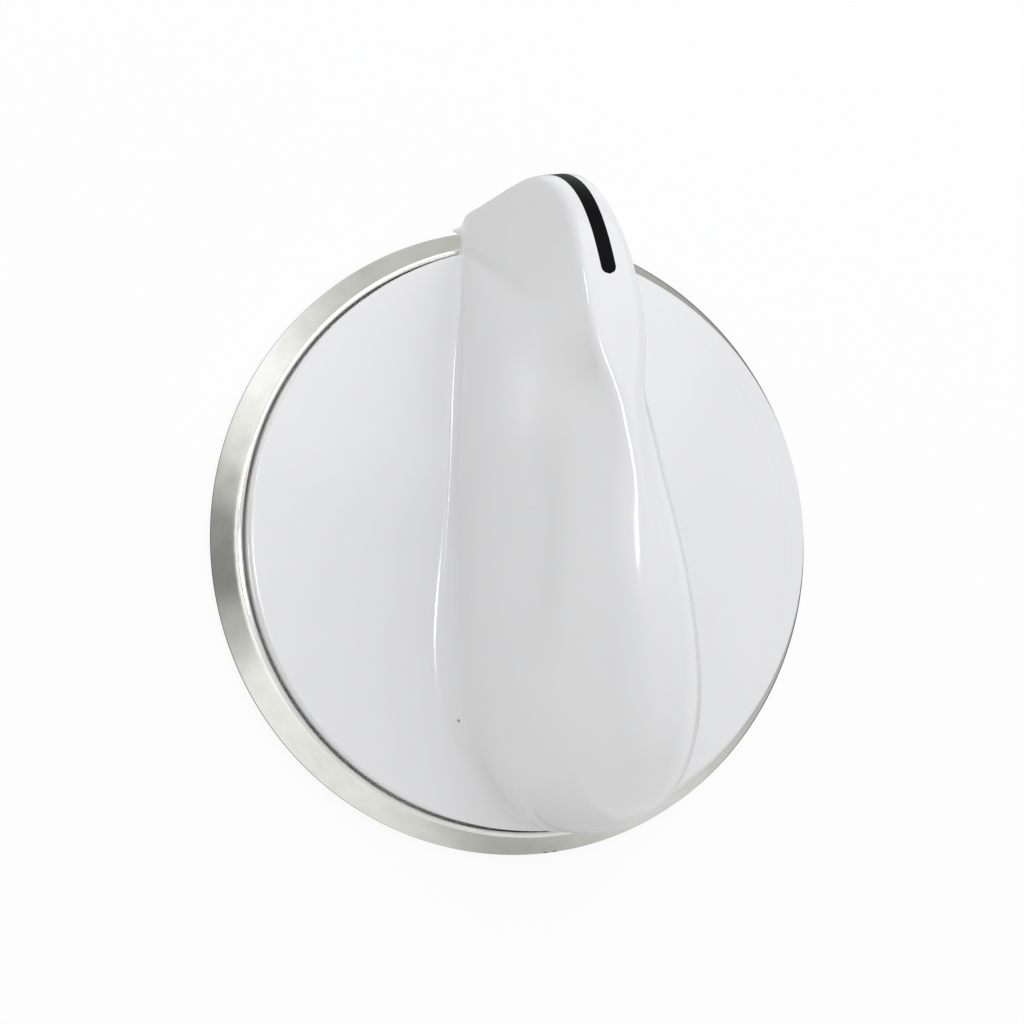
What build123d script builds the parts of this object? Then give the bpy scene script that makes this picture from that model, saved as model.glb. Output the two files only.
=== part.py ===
"""Cooker control knob: a white moulded cap with a tall pointer grip, in a chromed skirt ring.

Millimetres. +Z points out of the panel and +Y to the pointer. The origin is the centre of the
ring's back face, on the axis of the valve stem.
"""
import os
from math import cos, hypot, radians, sin, sqrt, tan

from build123d import *

# Skirt ring
ring_outer_r = 30.0
ring_flare = 1.9
ring_lip_width = 0.45
ring_height = 4.2
ring_edge_height = 0.9
ring_edge_bevel = 0.5
ring_lip_round = 0.2
ring_step_height = 1.5
ring_step_depth = 0.6

# Cap: the domed face and the skirt behind it
face_gap = 0.3
face_top = 7.3
face_crown = 1.0
face_edge_round = 1.2
flange_back = 3.0
flange_width = 1.45
skirt_wall = 1.8
skirt_setback = 0.4
skirt_clearance = 0.1
cap_wall = 1.8

# Snap lugs that hold the ring on the skirt
lug_count = 4
lug_width = 9.0
lug_depth = 0.45
lug_clearance = 0.1

# Pointer grip, with heights from the front plane of the ring
grip_height = 29.2
grip_top_y = 5.0
nose_overhang = 1.3
tail_setback = 2.4
nose_squareness = 4.8
tail_squareness = 3.2
grip_half_width = 10.6
grip_widest_y = -12.4
nose_half_width = 2.5
nose_edge_round = 1.2
taper_power = 1.35
flank_draft = 5.0
flank_slope = 84.0
arch_end_y = -2.0
flank_start_y = 17.0
facet_half_width = 2.5
facet_tip_y = 3.0
facet_widest_y = 18.0
facet_nose_half_width = 1.6
ridge_half_width = 0.35
facet_share = 0.6
edge_round = 0.7
edge_share = 0.6
arch_fullness = 0.55
flank_fullness = 0.5
overhang_clearance = 0.6
cove_nose = 1.1
cove_tail = 3.2
cove_widens_y = 10.0
cove_least = 0.1
cove_run_out = 9.0
cove_sink = 0.3
grip_wall = 2.2
cavity_front_y = 16.0
curve_step = 1e-6

# Pointer line: a filled groove over the nose
line_width = 1.3
line_depth = 0.5
line_back_y = 19.4
line_foot_height = 10.0

# Hub with its stem socket, leaf spring and ribs
hub_r = 6.6
hub_setback = 1.0
stem_r = 4.0
stem_flat = 2.9
stem_clearance = 0.1
socket_depth = 14.0
spring_width = 4.6
spring_thickness = 0.4
spring_length = 11.0
spring_bow = 0.5
spring_seat = 1.8
spring_slot_depth = 0.9
spring_clearance = 0.15
rib_count = 6
rib_thickness = 1.4
rib_setback = 2.0

ring_lip_r = ring_outer_r - ring_flare
ring_lip_bore_r = ring_lip_r - ring_lip_width
face_r = ring_lip_bore_r - face_gap
skirt_r = face_r - flange_width
pocket_r = skirt_r - skirt_wall
ring_bore_r = skirt_r + skirt_clearance
nose_y = ring_outer_r + nose_overhang
tail_y = tail_setback - ring_outer_r
face_dome_r = (face_r**2 + face_crown**2) / (2 * face_crown)
socket_r = stem_r + stem_clearance
socket_flat = stem_flat + stem_clearance
socket_top = hub_setback + socket_depth
knob_height = ring_height + grip_height


def smooth_step(value):
    """Ease from 0 to 1 with level, evenly curved ends."""
    value = min(max(value, 0.0), 1.0)
    return value**3 * (10 - 15 * value + 6 * value**2)


def face_height(r):
    """Height of the domed face at radius r, before its edge is rounded."""
    return face_top - face_dome_r + sqrt(face_dome_r**2 - r**2)


def half_width(y):
    """Half width of the grip's teardrop plan, at its foot."""
    if y < grip_widest_y:
        share = (y - grip_widest_y) / (tail_y - ridge_half_width - grip_widest_y)
        return grip_half_width * sqrt(1 - share**2)
    share = (y - grip_widest_y) / (nose_y - grip_widest_y)
    into_round = max(y - nose_y + nose_edge_round, 0.0)
    rounding = nose_edge_round - sqrt(nose_edge_round**2 - into_round**2)
    return grip_half_width - (grip_half_width - nose_half_width) * share**taper_power - rounding


def facet_half(y):
    """Half width of the flat on the crest: a leaf with its tip near the middle of the grip."""
    opening = smooth_step((y - facet_tip_y) / (facet_widest_y - facet_tip_y))
    closing = smooth_step((y - facet_widest_y) / (nose_y - facet_widest_y))
    widest = ridge_half_width + (facet_half_width - ridge_half_width) * opening
    return widest - (facet_half_width - facet_nose_half_width) * closing


def between(start, end, share):
    return tuple(a + (b - a) * share for a, b in zip(start, end))


def split_off(curve, share):
    """The rest of a cubic curve past a share of its run, as its own four points."""
    first, second, third, last = curve
    second_third = between(second, third, share)
    third_last = between(third, last, share)
    middle = between(second_third, third_last, share)
    start = between(between(between(first, second, share), second_third, share), middle, share)
    return start, middle, third_last, last


def above(curve, height):
    """The part of a climbing cubic curve above a height."""
    low, high = 0.0, 1.0
    while high - low > curve_step:
        share = (low + high) / 2
        if split_off(curve, share)[0][1] < height:
            low = share
        else:
            high = share
    return split_off(curve, high)


def coved(flank, y):
    """A flank with a hollow cove at its foot: the cove's end, its crease and the flank above it."""
    foot = flank[0][0]
    widening = smooth_step((cove_widens_y - y) / (cove_widens_y - grip_widest_y))
    room = face_r - face_edge_round - hypot(foot, y)
    widest = cove_nose + (cove_tail - cove_nose) * widening
    cove = cove_least + (widest - cove_least) * smooth_step(room / cove_run_out)
    face_z = face_height(min(hypot(foot + cove, y), face_r))
    rest = above(flank, face_z + cove)
    lean = (rest[0][0] - rest[1][0]) / (rest[1][1] - rest[0][1])
    crease = (rest[0][0] + lean * cove, face_z)
    return (crease[0] + cove, face_z - cove_sink), crease, rest


def grip_stations(inset):
    """Place and crest height of each section, along a superellipse quarter at either end."""
    ends = (
        (tail_y + inset, tail_squareness, (88, 82, 68, 50, 32, 16, 6)),
        (nose_y - inset, nose_squareness, (0, 0.8, 4, 13, 22, 32, 44, 58, 72, 82, 87, 89.5)),
    )
    for end_y, squareness, angles in ends:
        for angle in angles:
            along = sin(radians(angle)) ** (2 / squareness)
            up = cos(radians(angle)) ** (2 / squareness)
            yield grip_top_y + (end_y - grip_top_y) * along, (grip_height - inset) * up


def grip_section(y, crest, inset):
    """One section across the grip: flanks that turn from a flat-topped wedge to a round arch."""
    foot = half_width(y) - inset
    flat = max(min(facet_half(y) - inset, facet_share * foot), ridge_half_width / 2)
    slope = radians(flank_slope * smooth_step((y - arch_end_y) / (flank_start_y - arch_end_y)))
    corner = min(edge_round, edge_share * flat)
    reach = 1 / hypot(cos(slope) / (arch_fullness * (foot - flat)), 1 / (flank_fullness * crest))
    base = ring_height
    top = base + crest
    shoulder = (flat + corner * cos(slope), top - corner * sin(slope))
    handle = (shoulder[0] + reach * cos(slope), shoulder[1] - reach * sin(slope))
    waist = (foot - crest / 2 * tan(radians(flank_draft)), base + crest / 2)
    flank = ((foot, base), waist, handle, shoulder)
    with BuildSketch(Plane.XZ.offset(-y)) as section:
        with BuildLine():
            if inset:
                Line((0, base), (foot, base))
            else:
                cove_end, crease, flank = coved(flank, y)
                Polyline((0, base), (cove_end[0], base), cove_end)
                Bezier(cove_end, crease, flank[0])
            Bezier(*flank)
            Bezier(shoulder, (flat, top), (flat - corner, top))
            Line((flat - corner, top), (0, top))
            mirror(about=Plane.YZ)
        make_face()
    return section.sketch


def grip_sections(inset=0.0):
    return [grip_section(y, crest, inset) for y, crest in grip_stations(inset)]


# Outer form of the grip, cut away where its nose and tail pass over the ring's front lip
with BuildPart() as grip:
    loft(grip_sections())
    with BuildSketch() as overhang:
        Circle(ring_outer_r + nose_y)
        Circle(face_r - face_gap, mode=Mode.SUBTRACT)
    extrude(amount=ring_height + overhang_clearance, mode=Mode.SUBTRACT)

# Pointer line: the grip's skin, as deep as the groove, inside a slot with a round end
with BuildPart() as line_floor:
    loft(grip_sections(line_depth))

with BuildPart() as indicator_line:
    with BuildSketch(Plane.XY.offset(ring_height + line_foot_height)) as line_slot:
        with Locations((0, line_back_y + line_width / 2)):
            Circle(line_width / 2)
            Rectangle(line_width, nose_y, align=(Align.CENTER, Align.MIN))
    extrude(amount=grip_height)
    add(grip.part, mode=Mode.INTERSECT)
    add(line_floor.part, mode=Mode.SUBTRACT)

# What the moulding core leaves open behind the face: pocket and grip cavity, round the hub and ribs
with BuildPart() as core:
    loft(grip_sections(grip_wall))
    with BuildSketch(Plane.XY.offset(ring_height)) as front_stop:
        with Locations((0, cavity_front_y)):
            Rectangle(2 * ring_outer_r, nose_y, align=(Align.CENTER, Align.MIN))
    extrude(amount=grip_height, mode=Mode.SUBTRACT)
    with BuildSketch(Plane.XZ) as pocket_profile:
        with BuildLine():
            ceiling = face_height(pocket_r) - cap_wall
            Polyline((0, face_top - cap_wall), (0, 0), (pocket_r, 0), (pocket_r, ceiling))
            middle = (pocket_r / 2, face_height(pocket_r / 2) - cap_wall)
            ThreePointArc((pocket_r, ceiling), middle, (0, face_top - cap_wall))
        make_face()
    revolve(axis=Axis.Z)
    with BuildSketch(Plane.XY.offset(hub_setback)) as hub_outline:
        Circle(hub_r)
    extrude(amount=knob_height, mode=Mode.SUBTRACT)
    with BuildSketch(Plane.XY.offset(rib_setback)) as rib_outlines:
        with PolarLocations(0, rib_count):
            Rectangle(skirt_r, rib_thickness, align=(Align.MIN, Align.CENTER))
    extrude(amount=knob_height, mode=Mode.SUBTRACT)

with BuildPart() as knob_body:
    # Domed face with a rounded edge
    with BuildSketch(Plane.XZ) as face_profile:
        with BuildLine():
            edge_top = face_height(face_r)
            Polyline((0, face_top), (0, flange_back), (face_r, flange_back), (face_r, edge_top))
            ThreePointArc((face_r, edge_top), (face_r / 2, face_height(face_r / 2)), (0, face_top))
        make_face()
        fillet(face_profile.vertices().group_by(Axis.X)[-1].sort_by(Axis.Y)[-1], face_edge_round)
    revolve(axis=Axis.Z)
    add(grip.part)
    # Skirt and the snap lugs round its back edge
    with BuildSketch(Plane.XY.offset(skirt_setback)) as skirt_outline:
        Circle(skirt_r)
    extrude(amount=flange_back - skirt_setback)
    with BuildSketch(Plane.XY.offset(skirt_setback)) as lug_outlines:
        with PolarLocations(0, lug_count):
            Rectangle(ring_outer_r, lug_width, align=(Align.MIN, Align.CENTER))
        Circle(skirt_r + lug_depth, mode=Mode.INTERSECT)
    extrude(amount=ring_step_height - lug_clearance - skirt_setback)
    # Hollow back
    add(core.part, mode=Mode.SUBTRACT)
    # Socket for a stem with a flat, and the slot for the spring beside that flat
    with BuildSketch(Plane.XY.offset(hub_setback)) as socket_outline:
        Circle(socket_r)
        with Locations((0, socket_flat)):
            Rectangle(2 * socket_r, socket_r, align=(Align.CENTER, Align.MIN), mode=Mode.SUBTRACT)
        with Locations((0, socket_flat)):
            slot_width = spring_width + 2 * spring_clearance
            Rectangle(slot_width, 2 * spring_slot_depth)
    extrude(amount=socket_depth, mode=Mode.SUBTRACT)
    # Groove of the pointer line
    add(indicator_line.part, mode=Mode.SUBTRACT)

# Chromed ring: a flared band with a front lip and a shelf under the cap's edge
with BuildPart() as chrome_ring:
    with BuildSketch(Plane.XZ) as ring_profile:
        with BuildLine():
            Polyline(
                (ring_bore_r + ring_step_depth, 0),
                (ring_outer_r - ring_edge_bevel, 0),
                (ring_outer_r, ring_edge_bevel),
                (ring_outer_r, ring_edge_height),
                (ring_lip_r, ring_height),
                (ring_lip_bore_r, ring_height),
                (ring_lip_bore_r, flange_back),
                (ring_bore_r, flange_back),
                (ring_bore_r, ring_step_height),
                (ring_bore_r + ring_step_depth, ring_step_height),
                close=True,
            )
        make_face()
        lip = ring_profile.vertices().group_by(Axis.Y)[-1]
        fillet(lip, ring_lip_round)
    revolve(axis=Axis.Z)

# Leaf spring: flat ends on the slot's floor and a bow that presses on the stem's flat
with BuildPart() as shaft_spring:
    slot_floor = socket_flat + spring_slot_depth
    spring_front = slot_floor - spring_thickness
    low = socket_top - spring_length
    seat_low = low + spring_seat
    seat_high = socket_top - spring_seat
    bow_mid = low + spring_length / 2
    with BuildSketch(Plane.YZ) as spring_profile:
        with BuildLine():
            Line((slot_floor, low), (slot_floor, seat_low))
            back_bow = (slot_floor - spring_bow, bow_mid)
            ThreePointArc((slot_floor, seat_low), back_bow, (slot_floor, seat_high))
            end_strip = ((slot_floor, socket_top), (spring_front, socket_top))
            Polyline((slot_floor, seat_high), *end_strip, (spring_front, seat_high))
            front_bow = (spring_front - spring_bow, bow_mid)
            ThreePointArc((spring_front, seat_high), front_bow, (spring_front, seat_low))
            Polyline((spring_front, seat_low), (spring_front, low), (slot_floor, low))
        make_face()
    extrude(amount=spring_width / 2, both=True)

os.makedirs("parts", exist_ok=True)
for name, piece in (
    ("knob_body", knob_body),
    ("chrome_ring", chrome_ring),
    ("indicator_line", indicator_line),
    ("shaft_spring", shaft_spring),
):
    piece.part.label = name
    export_step(piece.part, f"parts/{name}.step")
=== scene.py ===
# %% [markdown]
# # A cooker control knob
# The knob is a white moulded cap with a tall pointer grip, pressed into a chromed ring. The solids
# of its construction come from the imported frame, in metres. This lesson gives each of them the skin
# and the finish of the real piece, then sets up the light and the camera.

from math import cos, pi, radians, sin

import bmesh
import bpy
from mathutils import Matrix, Vector
from mathutils.bvhtree import BVHTree


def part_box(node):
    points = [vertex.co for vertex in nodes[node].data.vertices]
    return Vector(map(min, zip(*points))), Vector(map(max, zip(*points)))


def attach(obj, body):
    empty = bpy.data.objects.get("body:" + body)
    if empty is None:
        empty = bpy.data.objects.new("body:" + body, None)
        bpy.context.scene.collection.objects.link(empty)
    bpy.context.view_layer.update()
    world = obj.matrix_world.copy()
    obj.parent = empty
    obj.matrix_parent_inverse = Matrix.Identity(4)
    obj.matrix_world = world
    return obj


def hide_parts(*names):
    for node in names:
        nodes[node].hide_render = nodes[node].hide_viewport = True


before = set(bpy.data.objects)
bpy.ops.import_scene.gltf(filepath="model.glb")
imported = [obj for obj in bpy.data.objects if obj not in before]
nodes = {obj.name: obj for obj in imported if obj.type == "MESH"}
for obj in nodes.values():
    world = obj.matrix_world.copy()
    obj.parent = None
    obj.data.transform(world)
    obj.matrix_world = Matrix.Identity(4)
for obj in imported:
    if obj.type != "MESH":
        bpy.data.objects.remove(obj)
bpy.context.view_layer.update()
mm = 0.001
print("Nodes in the frame:", ", ".join(sorted(nodes)))

# %% [markdown]
# ## Small helpers
# Colours are written as the sRGB hex values that a paint card would give, and one function turns
# them into the linear values that shaders use. A second function adds any node to a tree, with its
# settings, its socket values and its links, so that a material reads as a short list.


# %% Helpers for colours and nodes
def linear(hex_colour):
    """Linear RGBA of an sRGB hex colour."""
    channels = [int(hex_colour[i : i + 2], 16) / 255 for i in (0, 2, 4)]
    return (*(c / 12.92 if c <= 0.04045 else ((c + 0.055) / 1.055) ** 2.4 for c in channels), 1.0)


def add(tree, kind, values=None, links=None, **settings):
    """Add a node with its settings, set its socket values and link sources to its sockets."""
    node = tree.nodes.new(kind)
    for name, value in settings.items():
        setattr(node, name, value)
    for socket, value in (values or {}).items():
        node.inputs[socket].default_value = value
    for socket, source in (links or {}).items():
        tree.links.new(source, node.inputs[socket])
    return node


def start_material(name):
    """A new material, its tree, its shader and the place of each point on the piece."""
    material = bpy.data.materials.new(name)
    material.use_nodes = True
    tree = material.node_tree
    place = add(tree, "ShaderNodeTexCoord").outputs["Object"]
    return material, tree, tree.nodes["Principled BSDF"], place


print("Colours and nodes: white in linear values is", linear("FFFFFF"))

# %% Helpers for objects
merge_mm = 0.0001
crisp_edge = radians(40)


def new_object(name, data):
    """A new object in the scene, at the origin."""
    made = bpy.data.objects.new(name, data)
    bpy.context.scene.collection.objects.link(made)
    return made


def plain_mesh(piece, name):
    """Turn a piece with live modifiers, or a curve, into a plain mesh object of that name."""
    bpy.context.view_layer.update()
    graph = bpy.context.evaluated_depsgraph_get()
    mesh = bpy.data.meshes.new_from_object(piece.evaluated_get(graph), depsgraph=graph)
    old_data = piece.data
    bpy.data.objects.remove(piece)
    if isinstance(old_data, bpy.types.Mesh):
        bpy.data.meshes.remove(old_data)
    mesh.name = name
    return new_object(name, mesh)


def outward(piece):
    """Point a closed piece's faces outwards and shade it smooth up to a crisp edge."""
    shell = bmesh.new()
    shell.from_mesh(piece.data)
    bmesh.ops.remove_doubles(shell, verts=shell.verts, dist=merge_mm * mm)
    bmesh.ops.recalc_face_normals(shell, faces=shell.faces)
    shell.to_mesh(piece.data)
    shell.free()
    piece.data.set_sharp_from_angle(angle=crisp_edge)


print("Objects: points within", merge_mm, "mm are merged")

# %% [markdown]
# ## White moulded plastic
# The cap is injection-moulded ABS from a polished tool. It gives the eye a hard, even gloss with a
# slow waviness, where the melt shrank as it cooled, and one dark speck of burnt resin. The waviness
# could be modelled, but it is about a hundredth of a millimetre deep, so a bump is the better place
# for it.


# %% White plastic
def white_plastic():
    """Glossy white ABS, moulded in a polished tool, with a slow waviness and a burnt speck."""
    shrink_wave_mm = 14.0
    wave_depth_mm = 0.3
    wave_strength = 0.06
    haze_patch_mm = 9.0
    speck_place_mm = (-10.7, -15.7, 7.5)
    speck_radius_mm = 0.19
    speck_core_share = 0.6
    material, tree, shader, place = start_material("moulded_white_abs")
    shader.inputs["IOR"].default_value = 1.53
    tone = add(
        tree,
        "ShaderNodeTexNoise",
        {"Scale": 1 / (shrink_wave_mm * mm), "Detail": 2},
        {"Vector": place},
    )
    ramp = add(tree, "ShaderNodeValToRGB", links={"Fac": tone.outputs["Fac"]})
    ramp.color_ramp.elements[0].color = linear("E6E6E6")
    ramp.color_ramp.elements[1].color = linear("EDEDED")
    speck = add(
        tree,
        "ShaderNodeVectorMath",
        {1: [c * mm for c in speck_place_mm]},
        {0: place},
        operation="DISTANCE",
    )
    edge = add(
        tree,
        "ShaderNodeMapRange",
        {"From Min": speck_radius_mm * mm * speck_core_share, "From Max": speck_radius_mm * mm},
        {"Value": speck.outputs["Value"]},
    )
    colour = add(
        tree,
        "ShaderNodeMix",
        {"A": linear("A29F9B")},
        {"Factor": edge.outputs["Result"], "B": ramp.outputs["Color"]},
        data_type="RGBA",
    )
    haze = add(
        tree,
        "ShaderNodeTexNoise",
        {"Scale": 1 / (haze_patch_mm * mm), "Detail": 5},
        {"Vector": place},
    )
    gloss = add(
        tree,
        "ShaderNodeMapRange",
        {"To Min": 0.13, "To Max": 0.21},
        {"Value": haze.outputs["Fac"]},
    )
    bump = add(
        tree,
        "ShaderNodeBump",
        {"Strength": wave_strength, "Distance": wave_depth_mm * mm},
        {"Height": tone.outputs["Fac"]},
    )
    tree.links.new(colour.outputs["Result"], shader.inputs["Base Color"])
    tree.links.new(gloss.outputs["Result"], shader.inputs["Roughness"])
    tree.links.new(bump.outputs["Normal"], shader.inputs["Normal"])
    return material


plastic = white_plastic()
print("Made", plastic.name)

# %% [markdown]
# ## Chrome plate
# The ring is plated with bright chrome. Chrome mirrors its surroundings, so most of its look comes
# from the light. Handling leaves faint smudges, fine marks and a haze, which show as a slightly
# uneven tone and gloss, and in a few small spots the plate has chipped off.


# %% Chrome
def chrome_plate():
    """Bright chrome plate with faint smudges and handling marks, and a few chipped spots."""
    smudge_mm = 2.5
    smudge_starts = 0.3
    smudge_ends = 0.6
    mark_mm = 0.6
    mark_depth_mm = 0.05
    mark_strength = 0.05
    haze_mm = 7.0
    chip_radius_mm = 0.32
    chip_core_share = 0.5
    chip_places_mm = ((23.1, -18.85, 1.3), (-2.1, -29.8, 0.9), (-1.2, -29.85, 0.9))
    material, tree, shader, place = start_material("bright_chrome_plate")
    shader.inputs["Metallic"].default_value = 1.0
    haze = add(
        tree,
        "ShaderNodeTexNoise",
        {"Scale": 1 / (haze_mm * mm), "Detail": 6},
        {"Vector": place},
    )
    gloss = add(
        tree,
        "ShaderNodeMapRange",
        {"To Min": 0.04, "To Max": 0.12},
        {"Value": haze.outputs["Fac"]},
    )
    sound = None
    for chip_place_mm in chip_places_mm:
        away = add(
            tree,
            "ShaderNodeVectorMath",
            {1: [c * mm for c in chip_place_mm]},
            {0: place},
            operation="DISTANCE",
        )
        plate = add(
            tree,
            "ShaderNodeMapRange",
            {"From Min": chip_core_share * chip_radius_mm * mm, "From Max": chip_radius_mm * mm},
            {"Value": away.outputs["Value"]},
        ).outputs["Result"]
        if sound:
            plate = add(tree, "ShaderNodeMath", links={0: sound, 1: plate}, operation="MINIMUM").outputs[0]
        sound = plate
    smudge = add(
        tree,
        "ShaderNodeTexNoise",
        {"Scale": 1 / (smudge_mm * mm), "Detail": 4},
        {"Vector": place},
    )
    plate_tone = add(tree, "ShaderNodeValToRGB", links={"Fac": smudge.outputs["Fac"]})
    plate_tone.color_ramp.elements[0].position = smudge_starts
    plate_tone.color_ramp.elements[0].color = linear("F0F0EC")
    plate_tone.color_ramp.elements[1].position = smudge_ends
    plate_tone.color_ramp.elements[1].color = linear("FBFBF7")
    colour = add(
        tree,
        "ShaderNodeMix",
        {"A": linear("3A3733")},
        {"Factor": sound, "B": plate_tone.outputs["Color"]},
        data_type="RGBA",
    )
    marks = add(
        tree,
        "ShaderNodeTexNoise",
        {"Scale": 1 / (mark_mm * mm), "Detail": 3},
        {"Vector": place},
    )
    bump = add(
        tree,
        "ShaderNodeBump",
        {"Strength": mark_strength, "Distance": mark_depth_mm * mm},
        {"Height": marks.outputs["Fac"]},
    )
    tree.links.new(colour.outputs["Result"], shader.inputs["Base Color"])
    tree.links.new(gloss.outputs["Result"], shader.inputs["Roughness"])
    tree.links.new(bump.outputs["Normal"], shader.inputs["Normal"])
    return material


chrome = chrome_plate()
print("Made", chrome.name)

# %% [markdown]
# ## Black paint and spring steel
# The pointer line is a groove filled with black paint, which dries to a soft gloss with a slight
# unevenness. The leaf spring in the stem socket is rolled strip steel: its fine marks run along the
# strip, so the pattern is stretched in that direction.


# %% Black paint and spring steel
def black_paint():
    """Black line paint, wiped into a groove and dried to a soft gloss."""
    pool_mm = 1.5
    pool_depth_mm = 0.05
    pool_strength = 0.15
    material, tree, shader, place = start_material("black_line_paint")
    shader.inputs["Specular IOR Level"].default_value = 0.06
    pool = add(
        tree,
        "ShaderNodeTexNoise",
        {"Scale": 1 / (pool_mm * mm), "Detail": 3},
        {"Vector": place},
    )
    ramp = add(tree, "ShaderNodeValToRGB", links={"Fac": pool.outputs["Fac"]})
    ramp.color_ramp.elements[0].color = linear("020203")
    ramp.color_ramp.elements[1].color = linear("08080A")
    gloss = add(
        tree,
        "ShaderNodeMapRange",
        {"To Min": 0.4, "To Max": 0.55},
        {"Value": pool.outputs["Fac"]},
    )
    bump = add(
        tree,
        "ShaderNodeBump",
        {"Strength": pool_strength, "Distance": pool_depth_mm * mm},
        {"Height": pool.outputs["Fac"]},
    )
    tree.links.new(ramp.outputs["Color"], shader.inputs["Base Color"])
    tree.links.new(gloss.outputs["Result"], shader.inputs["Roughness"])
    tree.links.new(bump.outputs["Normal"], shader.inputs["Normal"])
    return material


def spring_steel():
    """Rolled spring steel strip, with fine marks along its length."""
    mark_width_mm = 0.25
    mark_stretch = 0.05
    material, tree, shader, place = start_material("rolled_spring_steel")
    shader.inputs["Metallic"].default_value = 1.0
    along = add(tree, "ShaderNodeMapping", {"Scale": (1, 1, mark_stretch)}, {"Vector": place})
    marks = add(
        tree,
        "ShaderNodeTexNoise",
        {"Scale": 1 / (mark_width_mm * mm), "Detail": 3},
        {"Vector": along.outputs[0]},
    )
    ramp = add(tree, "ShaderNodeValToRGB", links={"Fac": marks.outputs["Fac"]})
    ramp.color_ramp.elements[0].color = linear("8C8B88")
    ramp.color_ramp.elements[1].color = linear("BDBCB8")
    gloss = add(
        tree,
        "ShaderNodeMapRange",
        {"To Min": 0.25, "To Max": 0.42},
        {"Value": marks.outputs["Fac"]},
    )
    tree.links.new(ramp.outputs["Color"], shader.inputs["Base Color"])
    tree.links.new(gloss.outputs["Result"], shader.inputs["Roughness"])
    return material


paint = black_paint()
steel = spring_steel()
print("Made", paint.name, "and", steel.name)

# %% [markdown]
# ## The moulded cap
# A moulding has no truly sharp edge: the melt rounds every corner a little, and its gloss shows the
# smallest kink. The solid's triangles are long and uneven, so their highlights would be ragged. A
# voxel remesh lays an even skin over the same form, and a few smoothing steps round it as moulding
# does. The filled groove is closed first, so that the skin runs smoothly under the pointer line. On
# the real knob the rim of the face is crisper than the solid's, so a turned band is laid over it.
# A small spike at the nose is flash, where melt was pressed into the parting of the tool.

# %% Rim band
turn_steps = 360
face_radius_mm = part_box("knob_body")[1].x / mm
face_top_mm = 7.3
face_crown_mm = 1.0
rim_round_mm = 0.22
rim_band_mm = 2.0
rim_foot_mm = 3.3
rim_proud_mm = 0.004
rim_wall_proud_mm = 0.05


def face_height_mm(radius_mm):
    """Height of the shallow dome of the face at a radius."""
    return face_top_mm - face_crown_mm * (radius_mm / face_radius_mm) ** 2


def rim_section():
    """Section of the band over the rim: up the wall, round the edge and in along the dome."""
    inner = face_radius_mm - rim_band_mm
    outer = face_radius_mm + rim_wall_proud_mm
    edge = outer - rim_round_mm
    under = face_height_mm(edge) + rim_proud_mm - rim_round_mm
    section = [(inner, rim_foot_mm), (outer, rim_foot_mm)]
    for degrees in (0, 30, 60, 90):
        turn = radians(degrees)
        section.append((edge + rim_round_mm * cos(turn), under + rim_round_mm * sin(turn)))
    # A point close beside the edge keeps the shading of the rounding off the rest of the band.
    for radius in (edge - rim_round_mm / 2, inner):
        section.append((radius, face_height_mm(radius) + rim_proud_mm))
    return section


def add_rim(skin):
    """Turn the rim's section round the stem axis and add it to the skin."""
    shell = bmesh.new()
    rim = [shell.verts.new((radius * mm, 0, height * mm)) for radius, height in rim_section()]
    sides = [shell.edges.new(ends) for ends in zip(rim, rim[1:] + rim[:1])]
    bmesh.ops.spin(
        shell,
        geom=rim + sides,
        cent=(0, 0, 0),
        axis=(0, 0, 1),
        angle=2 * pi,
        steps=turn_steps,
        use_merge=True,
    )
    bmesh.ops.recalc_face_normals(shell, faces=shell.faces)
    shell.from_mesh(skin.data)
    shell.to_mesh(skin.data)
    shell.free()


print("Rim band:", len(rim_section()), "points in its section, face radius", round(face_radius_mm, 2), "mm")

# %% Cap
skin_voxel_mm = 0.26
skin_smoothing = 6
skin_smoothing_step = 0.5
skin_share_kept = 0.4
skin_merge_mm = 0.001
flash_tip_mm = (-4.1, 29.7, 5.1)
flash_root_mm = (-1.2, 29.0, 6.0)
flash_radius_mm = 1.4
flash_sides = 12


def moulded_cap():
    """The cap and its filled groove as one even, softly rounded skin, with the band over its rim."""
    loose = bmesh.new()
    for name in ("knob_body", "indicator_line"):
        loose.from_mesh(nodes[name].data)
    tip = Vector(flash_tip_mm) * mm
    root = Vector(flash_root_mm) * mm
    turn = (tip - root).to_track_quat("Z", "Y").to_matrix().to_4x4()
    bmesh.ops.create_cone(
        loose,
        cap_ends=True,
        segments=flash_sides,
        radius1=flash_radius_mm * mm,
        radius2=0,
        depth=(tip - root).length,
        matrix=Matrix.Translation((tip + root) / 2) @ turn,
    )
    bmesh.ops.remove_doubles(loose, verts=loose.verts, dist=skin_merge_mm * mm)
    mesh = bpy.data.meshes.new("cap_solid")
    loose.to_mesh(mesh)
    loose.free()
    solid = new_object("cap_solid", mesh)
    skin = solid.modifiers.new("skin", "REMESH")
    skin.mode = "VOXEL"
    skin.voxel_size = skin_voxel_mm * mm
    soften = solid.modifiers.new("soften", "SMOOTH")
    soften.factor = skin_smoothing_step
    soften.iterations = skin_smoothing
    lighten = solid.modifiers.new("lighten", "DECIMATE")
    lighten.ratio = skin_share_kept
    made = plain_mesh(solid, "moulded_cap")
    add_rim(made)
    made.data.shade_smooth()
    made.data.set_sharp_from_angle(angle=crisp_edge)
    made.data.materials.clear()
    made.data.materials.append(plastic)
    return made


cap = moulded_cap()
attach(cap, "root")
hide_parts("knob_body")
print("Cap:", sum(len(p.vertices) - 2 for p in cap.data.polygons), "triangles")

# %% [markdown]
# ## The chromed ring
# The ring is pressed from thin sheet: a flared band with a small rounded front lip, so its shape is
# one profile turned round the stem axis. It could be spun in mesh code. A Geometry Nodes tree sweeps
# the profile round a circle instead, so that each size stays a named input.


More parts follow.
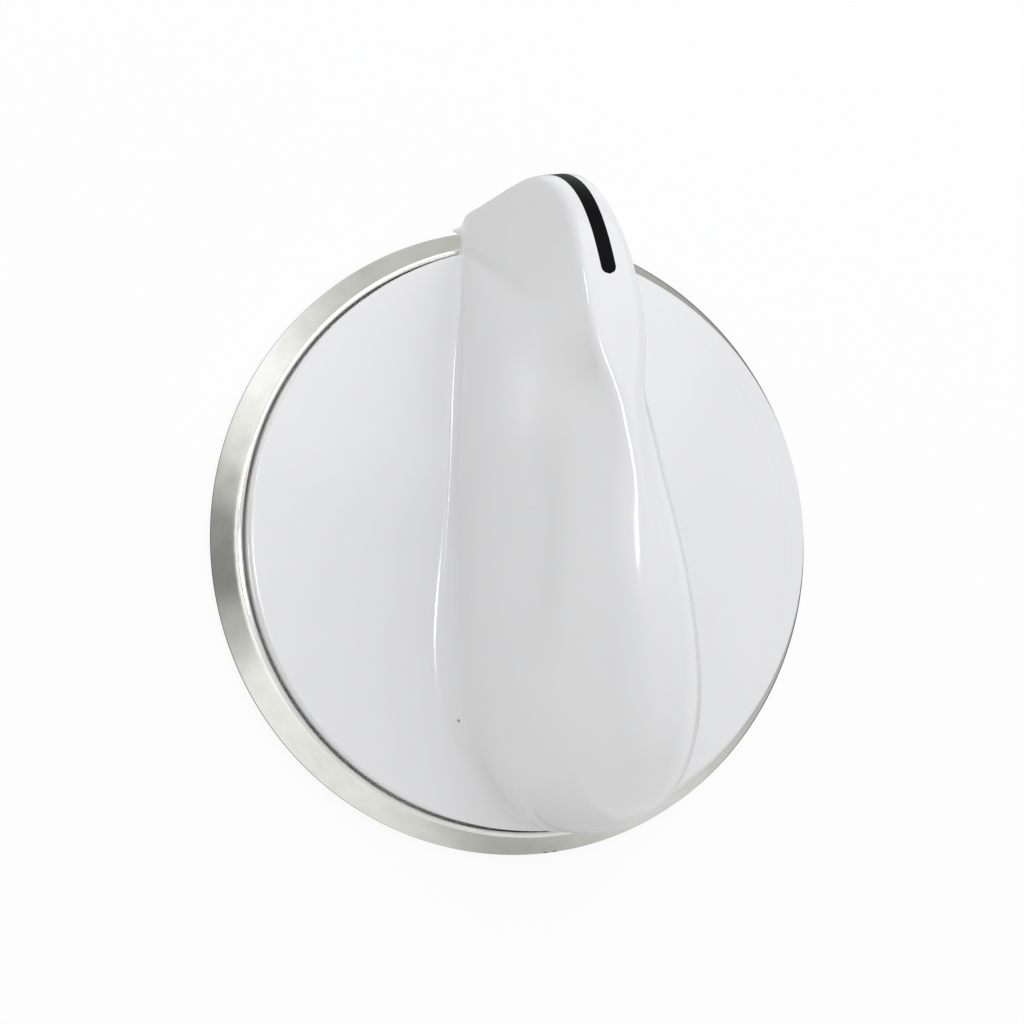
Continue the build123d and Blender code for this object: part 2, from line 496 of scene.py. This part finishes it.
# %% Helpers for geometry trees
def geometry_tree(name, sizes):
    """A node tree with a geometry input and output, and a named length input for each size."""
    tree = bpy.data.node_groups.new(name, "GeometryNodeTree")
    tree.interface.new_socket("Geometry", in_out="INPUT", socket_type="NodeSocketGeometry")
    tree.interface.new_socket("Geometry", in_out="OUTPUT", socket_type="NodeSocketGeometry")
    for size in sizes:
        tree.interface.new_socket(size, in_out="INPUT", socket_type="NodeSocketFloat")
    return tree


def run_tree(piece, tree, sizes, name):
    """Run the tree on a piece with these sizes, and return the result as a plain mesh object."""
    modifier = piece.modifiers.new(name, "NODES")
    modifier.node_group = tree
    for socket in tree.interface.items_tree:
        if socket.name in sizes:
            modifier[socket.identifier] = sizes[socket.name]
    return plain_mesh(piece, name)


ring_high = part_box("chrome_ring")[1]
print("Ring to turn: radius", round(ring_high.x / mm, 2), "mm, top at", round(ring_high.z / mm, 2), "mm")

# %% Ring
corner_steps = 3
ring_sizes = {
    "Outer radius": ring_high.x,
    "Height": ring_high.z,
    "Back inset": 0.5 * mm,
    "Bevel height": 0.5 * mm,
    "Edge height": 0.9 * mm,
    "Lip inset": 1.9 * mm,
    "Lip bore inset": 2.35 * mm,
    "Shelf height": 3.0 * mm,
    "Bore inset": 4.0 * mm,
    "Step inset": 3.4 * mm,
    "Step height": 1.5 * mm,
    "Corner round": 0.2 * mm,
}
ring_corners = (
    ("Step inset", None),
    ("Back inset", None),
    (None, "Bevel height"),
    (None, "Edge height"),
    ("Lip inset", "Height"),
    ("Lip bore inset", "Height"),
    ("Lip bore inset", "Shelf height"),
    ("Bore inset", "Shelf height"),
    ("Bore inset", "Step height"),
    ("Step inset", "Step height"),
)


def ring_tree():
    """Sweep the ring's section round the stem axis. Insets are measured from the outer radius."""
    tree = geometry_tree("turned_ring", ring_sizes)
    size = add(tree, "NodeGroupInput").outputs
    index = add(tree, "GeometryNodeInputIndex").outputs[0]
    pick = add(tree, "GeometryNodeIndexSwitch", links={"Index": index}, data_type="VECTOR")
    while len(pick.index_switch_items) < len(ring_corners):
        pick.index_switch_items.new()
    for number, corner in enumerate(ring_corners):
        links = {axis: size[name] for axis, name in zip("XY", corner) if name}
        point = add(tree, "ShaderNodeCombineXYZ", links=links)
        tree.links.new(point.outputs[0], pick.inputs[str(number)])
    line = add(tree, "GeometryNodeMeshLine", {"Count": len(ring_corners)})
    placed = add(
        tree,
        "GeometryNodeSetPosition",
        links={"Geometry": line.outputs[0], "Position": pick.outputs[0]},
    )
    open_curve = add(tree, "GeometryNodeMeshToCurve", links={"Mesh": placed.outputs[0]})
    section = add(
        tree,
        "GeometryNodeSetSplineCyclic",
        {"Cyclic": True},
        {"Geometry": open_curve.outputs[0]},
    )
    # Half a turn, because the sweep takes the section's X outwards and its Y down.
    inward = add(tree, "GeometryNodeTransform", {"Scale": (-1, -1, 1)}, {"Geometry": section.outputs[0]})
    rounded = add(
        tree,
        "GeometryNodeFilletCurve",
        {"Count": corner_steps},
        {"Curve": inward.outputs[0], "Radius": size["Corner round"]},
        mode="POLY",
    )
    path = add(
        tree,
        "GeometryNodeCurvePrimitiveCircle",
        {"Resolution": turn_steps},
        {"Radius": size["Outer radius"]},
    )
    turned = add(
        tree,
        "GeometryNodeCurveToMesh",
        links={"Curve": path.outputs[0], "Profile Curve": rounded.outputs[0]},
    )
    whole = add(tree, "GeometryNodeRealizeInstances", links={"Geometry": turned.outputs[0]})
    dressed = add(tree, "GeometryNodeSetMaterial", {"Material": chrome}, {"Geometry": whole.outputs[0]})
    add(tree, "NodeGroupOutput", links={"Geometry": dressed.outputs[0]})
    return tree


ring_seed = new_object("ring_seed", bpy.data.meshes.new("ring_seed"))
ring = run_tree(ring_seed, ring_tree(), ring_sizes, "chromed_ring")
outward(ring)
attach(ring, "root")
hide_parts("chrome_ring")
print("Ring:", len(ring.data.polygons), "faces")

# %% [markdown]
# ## The pointer line
# The black line runs from the flat on the crest over the nose and down its front. Rays sent at the
# cap towards the inside of the nose's bend find its path on the skin itself. A tree then sweeps a
# shallow section along that path, so the line keeps its width round the bend and ends on the crest
# in a half circle.

# %% Path of the pointer line
line_low, line_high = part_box("indicator_line")
line_width = line_high.x - line_low.x
line_rays = 48


def line_path():
    """Points on the cap's skin, from the crest over the nose to the line's lower end."""
    graph = bpy.context.evaluated_depsgraph_get()
    skin = BVHTree.FromObject(cap, graph)
    bend = Vector((0, line_low.y + line_width / 2, line_low.z))
    reach = (line_high - line_low).length * 2
    points = []
    for step in range(line_rays + 1):
        angle = pi / 2 * (1 - step / line_rays)
        ray = Vector((0, cos(angle), sin(angle)))
        hit = skin.ray_cast(bend + ray * reach, -ray)[0]
        points.append(hit)
    curve = bpy.data.curves.new("line_path", "CURVE")
    curve.dimensions = "3D"
    spline = curve.splines.new("POLY")
    spline.points.add(len(points) - 1)
    for point, place in zip(spline.points, points):
        point.co = (*place, 1)
    return new_object("line_path", curve)


path_on_skin = line_path()
print("Path of the line:", len(path_on_skin.data.splines[0].points), "points on the skin")

# %% Pointer line
line_sizes = {
    "Width": line_width,
    "Depth": 0.45 * mm,
    "Proud": 0.008 * mm,
}
line_points = 160
# A hair over 1, so that the very end of the line keeps a little width.
end_share = 1.001


def line_tree():
    """Sweep the paint's section along the path, with a half-round end at the crest."""
    tree = geometry_tree("painted_line", line_sizes)
    size = add(tree, "NodeGroupInput").outputs
    even = add(
        tree,
        "GeometryNodeResampleCurve",
        {"Count": line_points},
        {"Curve": size["Geometry"]},
        mode="COUNT",
    )
    turned = add(
        tree,
        "GeometryNodeSetCurveNormal",
        {"Normal": (1, 0, 0)},
        {"Curve": even.outputs[0]},
        mode="FREE",
    )
    along = add(tree, "GeometryNodeSplineParameter").outputs["Length"]
    half = add(tree, "ShaderNodeMath", {1: 0.5}, {0: size["Width"]}, operation="MULTIPLY").outputs[0]
    share = add(
        tree,
        "ShaderNodeMath",
        links={0: along, 1: half},
        operation="DIVIDE",
        use_clamp=True,
    ).outputs[0]
    back = add(tree, "ShaderNodeMath", {0: 1.0}, {1: share}, operation="SUBTRACT").outputs[0]
    square = add(tree, "ShaderNodeMath", {1: 2.0}, {0: back}, operation="POWER").outputs[0]
    rest = add(tree, "ShaderNodeMath", {0: end_share}, {1: square}, operation="SUBTRACT").outputs[0]
    round_end = add(tree, "ShaderNodeMath", {1: 0.5}, {0: rest}, operation="POWER").outputs[0]
    depth_and_proud = {0: size["Depth"], 1: size["Proud"]}
    total = add(tree, "ShaderNodeMath", links=depth_and_proud, operation="ADD").outputs[0]
    section = add(
        tree,
        "GeometryNodeCurvePrimitiveQuadrilateral",
        links={"Width": size["Width"], "Height": total},
        mode="RECTANGLE",
    )
    middle = add(tree, "ShaderNodeMath", links=depth_and_proud, operation="SUBTRACT")
    sink = add(tree, "ShaderNodeMath", {1: 0.5}, {0: middle.outputs[0]}, operation="MULTIPLY").outputs[0]
    shift = add(tree, "ShaderNodeCombineXYZ", links={"Y": sink}).outputs[0]
    sunk = add(
        tree,
        "GeometryNodeTransform",
        links={"Geometry": section.outputs[0], "Translation": shift},
    )
    rounded = add(
        tree,
        "GeometryNodeFilletCurve",
        {"Count": corner_steps},
        {"Curve": sunk.outputs[0], "Radius": size["Proud"]},
        mode="POLY",
    )
    swept = add(
        tree,
        "GeometryNodeCurveToMesh",
        {"Fill Caps": True},
        {"Curve": turned.outputs[0], "Profile Curve": rounded.outputs[0], "Scale": round_end},
    )
    whole = add(tree, "GeometryNodeRealizeInstances", links={"Geometry": swept.outputs[0]})
    dressed = add(tree, "GeometryNodeSetMaterial", {"Material": paint}, {"Geometry": whole.outputs[0]})
    add(tree, "NodeGroupOutput", links={"Geometry": dressed.outputs[0]})
    return tree


line = run_tree(path_on_skin, line_tree(), line_sizes, "pointer_line")
outward(line)
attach(line, "root")
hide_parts("indicator_line")
print("Pointer line:", len(line.data.polygons), "faces")

# %% [markdown]
# ## The leaf spring
# The spring sits deep in the stem socket. Its solid already has the form of the bent strip, so it
# stays as it is and only takes its finish.

# %% Spring
spring = nodes["shaft_spring"]
spring.data.materials.clear()
spring.data.materials.append(steel)
print("Spring dressed in", steel.name)

# %% [markdown]
# ## Floor and light
# The knob lies on a white table under broad, soft light, as in a small product tent. The floor adds
# its own white for the camera and for mirror-like surfaces, and still takes a share of the light, so
# that the knob keeps its soft shadow. A panel above the nose models the form, and two small lamps on
# the left, which show in gloss alone, draw the thin highlights along the foot and the crest.


# %% Floor and world
def pale_stage(half_width, glow_share):
    """A wide white floor that looks white to the camera and in the chrome."""
    mesh = bpy.data.meshes.new("floor")
    signs = ((-1, -1), (1, -1), (1, 1), (-1, 1))
    corners = [(x * half_width, y * half_width, 0) for x, y in signs]
    mesh.from_pydata(corners, [], [(0, 1, 2, 3)])
    floor = new_object("floor", mesh)
    material = bpy.data.materials.new("white_table")
    material.use_nodes = True
    tree = material.node_tree
    tree.nodes.clear()
    rays = add(tree, "ShaderNodeLightPath").outputs
    seen = add(
        tree,
        "ShaderNodeMath",
        links={0: rays["Is Camera Ray"], 1: rays["Is Glossy Ray"]},
        operation="MAXIMUM",
    )
    clear = add(
        tree,
        "ShaderNodeMath",
        links={0: seen.outputs[0], 1: rays["Is Transmission Ray"]},
        operation="MAXIMUM",
    )
    share = add(tree, "ShaderNodeMath", {1: glow_share}, {0: clear.outputs[0]}, operation="MULTIPLY")
    matt = add(tree, "ShaderNodeBsdfDiffuse", {"Color": linear("F4F4F4")})
    glow = add(tree, "ShaderNodeEmission", {"Color": linear("FFFFFF"), "Strength": 1.0})
    mixed = add(
        tree,
        "ShaderNodeMixShader",
        links={"Fac": share.outputs[0], 1: matt.outputs[0], 2: glow.outputs[0]},
    )
    add(tree, "ShaderNodeOutputMaterial", links={"Surface": mixed.outputs[0]})
    mesh.materials.append(material)


def tent_light(strength):
    """An even, faintly cool light from all round, seen as white by the camera."""
    world = bpy.data.worlds.new("tent")
    bpy.context.scene.world = world
    world.use_nodes = True
    tree = world.node_tree
    tree.nodes.clear()
    rays = add(tree, "ShaderNodeLightPath").outputs
    even = add(tree, "ShaderNodeBackground", {"Color": linear("FAFAFB"), "Strength": strength})
    white = add(tree, "ShaderNodeBackground", {"Color": linear("FFFFFF"), "Strength": 1.0})
    mixed = add(
        tree,
        "ShaderNodeMixShader",
        links={"Fac": rays["Is Camera Ray"], 1: even.outputs[0], 2: white.outputs[0]},
    )
    add(tree, "ShaderNodeOutputWorld", links={"Surface": mixed.outputs[0]})


pale_stage(half_width=1.5, glow_share=0.9)
tent_light(strength=0.74)
print("Floor and tent are up")

# %% Lamps
lamp_distance_mm = 500.0


def soft_lamp(name, azimuth_deg, elevation_deg, size_mm, watts, lights_all):
    """A lamp that points at the knob from an angle round it and above it, for all or for gloss alone."""
    light = bpy.data.lights.new(name, "AREA")
    light.shape = "RECTANGLE"
    light.size = size_mm[0] * mm
    light.size_y = size_mm[1] * mm
    light.energy = watts
    light.color = linear("FAFBFF")[:3]
    azimuth = radians(azimuth_deg)
    elevation = radians(elevation_deg)
    level = lamp_distance_mm * cos(elevation)
    height = lamp_distance_mm * sin(elevation)
    lamp = new_object(name, light)
    lamp.visible_diffuse = lights_all
    lamp.location = Vector((level * cos(azimuth), level * sin(azimuth), height)) * mm
    lamp.rotation_euler = (-lamp.location).to_track_quat("-Z", "Y").to_euler()


soft_lamp("left_strip", azimuth_deg=151, elevation_deg=42, size_mm=(90, 28), watts=0.46, lights_all=False)
soft_lamp("high_spot", azimuth_deg=172, elevation_deg=79, size_mm=(54, 54), watts=0.4, lights_all=False)
soft_lamp("top_panel", azimuth_deg=70, elevation_deg=55, size_mm=(500, 500), watts=0.98, lights_all=True)

# %% [markdown]
# ## A grey card round the knob
# Chrome on a white table under white light would look like white paint. A photographer lays a grey
# card round a shiny thing, just outside the picture, so that it has something to mirror. This one is
# a flat ring, airbrushed from grey to white as it goes round, and it shows in reflections alone. A
# narrow dark one stands for the shade in the crack under the ring's edge.


# %% Card
def round_card(name, near_mm, far_mm, tones):
    """A ring of card on the floor, with a grey tone at each of these angles."""
    above_floor_mm = 0.05
    steps = 90
    corners = []
    for step in range(steps):
        angle = 2 * pi * step / steps
        for radius_mm in (near_mm, far_mm):
            place = Vector((radius_mm * cos(angle), radius_mm * sin(angle), above_floor_mm))
            corners.append(place * mm)
    count = len(corners)
    faces = [(i, i + 1, (i + 3) % count, (i + 2) % count) for i in range(0, count, 2)]
    mesh = bpy.data.meshes.new(name)
    mesh.from_pydata(corners, [], faces)
    material = bpy.data.materials.new(name)
    material.use_nodes = True
    tree = material.node_tree
    tree.nodes.clear()
    place = add(tree, "ShaderNodeTexCoord").outputs["Object"]
    round_about = add(tree, "ShaderNodeTexGradient", links={"Vector": place}, gradient_type="RADIAL")
    ramp = add(tree, "ShaderNodeValToRGB", links={"Fac": round_about.outputs["Fac"]})
    ramp.color_ramp.interpolation = "EASE"
    stops = ramp.color_ramp.elements
    while len(stops) < len(tones):
        stops.new(1.0)
    for stop, (angle_deg, hex_colour) in zip(stops, tones):
        stop.position = angle_deg / 360 + 0.5
        stop.color = linear(hex_colour)
    grey = add(tree, "ShaderNodeEmission", {"Strength": 1.0}, {"Color": ramp.outputs["Color"]})
    add(tree, "ShaderNodeOutputMaterial", links={"Surface": grey.outputs[0]})
    mesh.materials.append(material)
    card = new_object(name, mesh)
    card.visible_camera = False
    card.visible_diffuse = False
    card.visible_shadow = False
    card.visible_transmission = False


shade_near_mm = 29.5
card_near_mm = 30.7
card_far_mm = 48.0
card_tones = (
    (-180, "868684"),
    (-171, "B6B6B4"),
    (-159, "ECECEA"),
    (-129, "E6E6E4"),
    (-99, "ACACA9"),
    (-69, "D2D2D0"),
    (-35, "B4B4B1"),
    (35, "A2A29F"),
    (81, "BABAB7"),
    (111, "C4C4C1"),
    (141, "FFFFFF"),
    (153, "E6E6E4"),
    (161, "BEBEBC"),
    (169, "949492"),
    (180, "868684"),
)
shade_tones = ((-180, "5C5C5A"), (180, "5C5C5A"))
round_card("airbrushed_card", card_near_mm, card_far_mm, card_tones)
round_card("shade_under_edge", shade_near_mm, card_near_mm, shade_tones)
print("Card laid round the knob, with", len(card_tones), "tones")

# %% [markdown]
# ## Camera
# The camera looks almost straight down on the knob, from a little to the left, with its pointer up
# the picture. Its place and its axes were worked out from the ring's two rims.


# %% Camera
def photo_camera():
    """The camera at the picture's own angle, for a square frame."""
    place_mm = (-65.78, -3.34, 193.07)
    right = Vector((0.93839, -0.14361, 0.31430))
    back = Vector((-0.32158, -0.03002, 0.94640))
    up = back.cross(right)
    data = bpy.data.cameras.new("camera")
    data.sensor_width = 36.0
    data.lens = 74.3
    camera = new_object("camera", data)
    turn = Matrix((right, up, back)).transposed().to_4x4()
    camera.matrix_world = Matrix.Translation(Vector(place_mm) * mm) @ turn
    bpy.context.scene.camera = camera


photo_camera()
bpy.context.scene.view_settings.view_transform = "Standard"
print("Camera is set")
